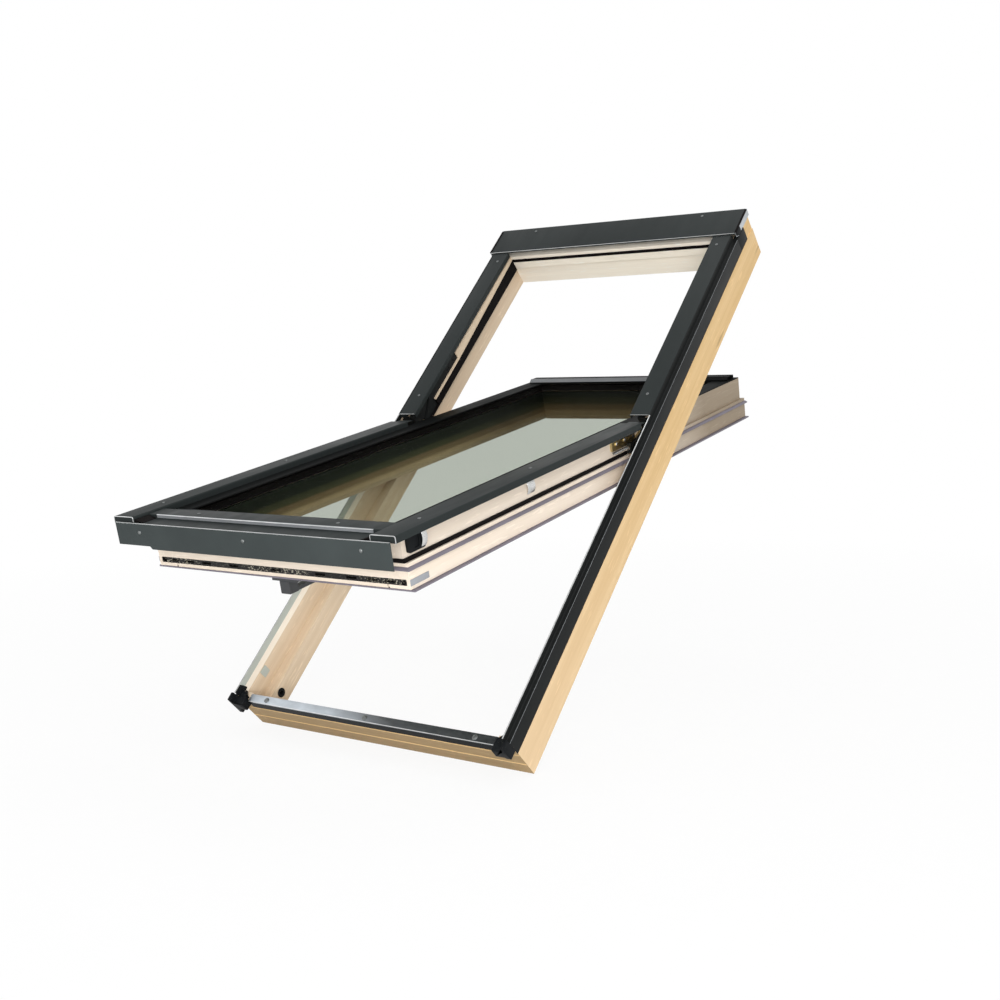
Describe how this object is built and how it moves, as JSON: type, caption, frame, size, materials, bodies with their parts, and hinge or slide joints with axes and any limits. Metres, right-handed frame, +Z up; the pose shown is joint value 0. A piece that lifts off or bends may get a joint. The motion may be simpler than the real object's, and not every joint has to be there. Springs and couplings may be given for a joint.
{
  "type": "roof skylight",
  "caption": "Centre-pivot timber roof window with its frame, dark metal covers and double glazing; the sash tips open on curved hinges, with a handle, lock and side bolt.",
  "frame": {"origin": "centre of the frame in the outer plane of its timbers, where the window meets the roof surface", "axes": "+X to the right seen from outside, +Z up, +Y towards the ridge; the frame is pitched 45 degrees about X and the sash is open 34.6 degrees"},
  "size_m": [0.78, 1.5763, 1.2438],
  "materials": {
    "pine": "clear satin lacquer",
    "sash_pine": "clear satin lacquer",
    "dark_metal": "satin dark grey coating",
    "galvanised": "dull galvanised",
    "sill_metal": "satin grey",
    "black_plastic": "moulded",
    "black_rubber": "matt",
    "grey_rubber": "matt",
    "hinge_dark": "dark plated",
    "hinge_brass": "yellow zinc plated",
    "bright_steel": "bright",
    "grey_plastic": "moulded",
    "lock_dark": "dark plated",
    "glass": "clear, faint green",
    "handle_metal": "satin",
    "screw_metal": "satin"
  },
  "bodies": {
    "window_frame": {"left_jamb": "pine", "right_jamb": "pine", "head_rail": "pine", "sill_rail": "pine", "left_upper_cover": "dark_metal", "right_upper_cover": "dark_metal", "left_side_flashing": "dark_metal", "right_side_flashing": "dark_metal", "head_hood": "dark_metal", "hood_ends": "galvanised", "sill_flashing": "sill_metal", "left_sill_corner": "black_plastic", "right_sill_corner": "black_plastic", "frame_gasket": "black_rubber", "left_hinge_track": "hinge_dark", "right_hinge_track": "hinge_dark", "bolt_socket": "black_plastic", "keep_plates": "grey_plastic", "hood_screws": "screw_metal", "cover_screws": "screw_metal", "sill_screws": "screw_metal"},
    "sash": {"left_stile": "sash_pine", "right_stile": "sash_pine", "top_rail": "sash_pine", "bottom_rail": "sash_pine", "inner_pane": "glass", "outer_pane": "glass", "glass_spacer": "galvanised", "glazing_gasket": "black_rubber", "left_capping": "dark_metal", "right_capping": "dark_metal", "top_capping": "dark_metal", "left_raised_cladding": "dark_metal", "right_raised_cladding": "dark_metal", "bottom_cladding": "dark_metal", "apron": "dark_metal", "outer_lip_seal": "grey_rubber", "inner_lip_seal": "grey_rubber", "groove_gasket": "black_rubber", "left_hinge_runner": "hinge_brass", "right_hinge_runner": "hinge_brass", "corner_brackets": "black_plastic", "corner_clips": "bright_steel", "stile_clips": "grey_plastic", "lock_rail": "lock_dark", "lock_corner_plates": "lock_dark", "bolt_guide": "grey_plastic", "handle_base": "handle_metal", "cladding_screws": "screw_metal", "rail_screws": "screw_metal", "apron_rivets": "screw_metal"},
    "handle": {"handle_lever": "handle_metal"},
    "slider": {"lock_slider": "lock_dark"},
    "bolt": {"side_bolt": "bright_steel"}
  },
  "joints": [
    {"name": "sash_pivot", "type": "hinge", "parent": "window_frame", "child": "sash", "pos_m": [0, -0.0099, 0.12162], "axis": [-1, 0, 0], "range_deg": [-34.6, 45.4]},
    {"name": "handle_turn", "type": "hinge", "parent": "sash", "child": "handle", "pos_m": [0, -0.78103, -0.23036], "axis": [0, -0.1805, 0.9836], "range_deg": [0, 90]},
    {"name": "lock_slide", "type": "slide", "parent": "sash", "child": "slider", "axis": [1, 0, 0], "range_m": [0, 0.01]},
    {"name": "bolt_slide", "type": "slide", "parent": "sash", "child": "bolt", "axis": [-1, 0, 0], "range_m": [0, 0.022]}
  ],
  "couplings": [
    {"joint": "lock_slide", "follows": "handle_turn", "m_per_rad": 0.0063}
  ]
}
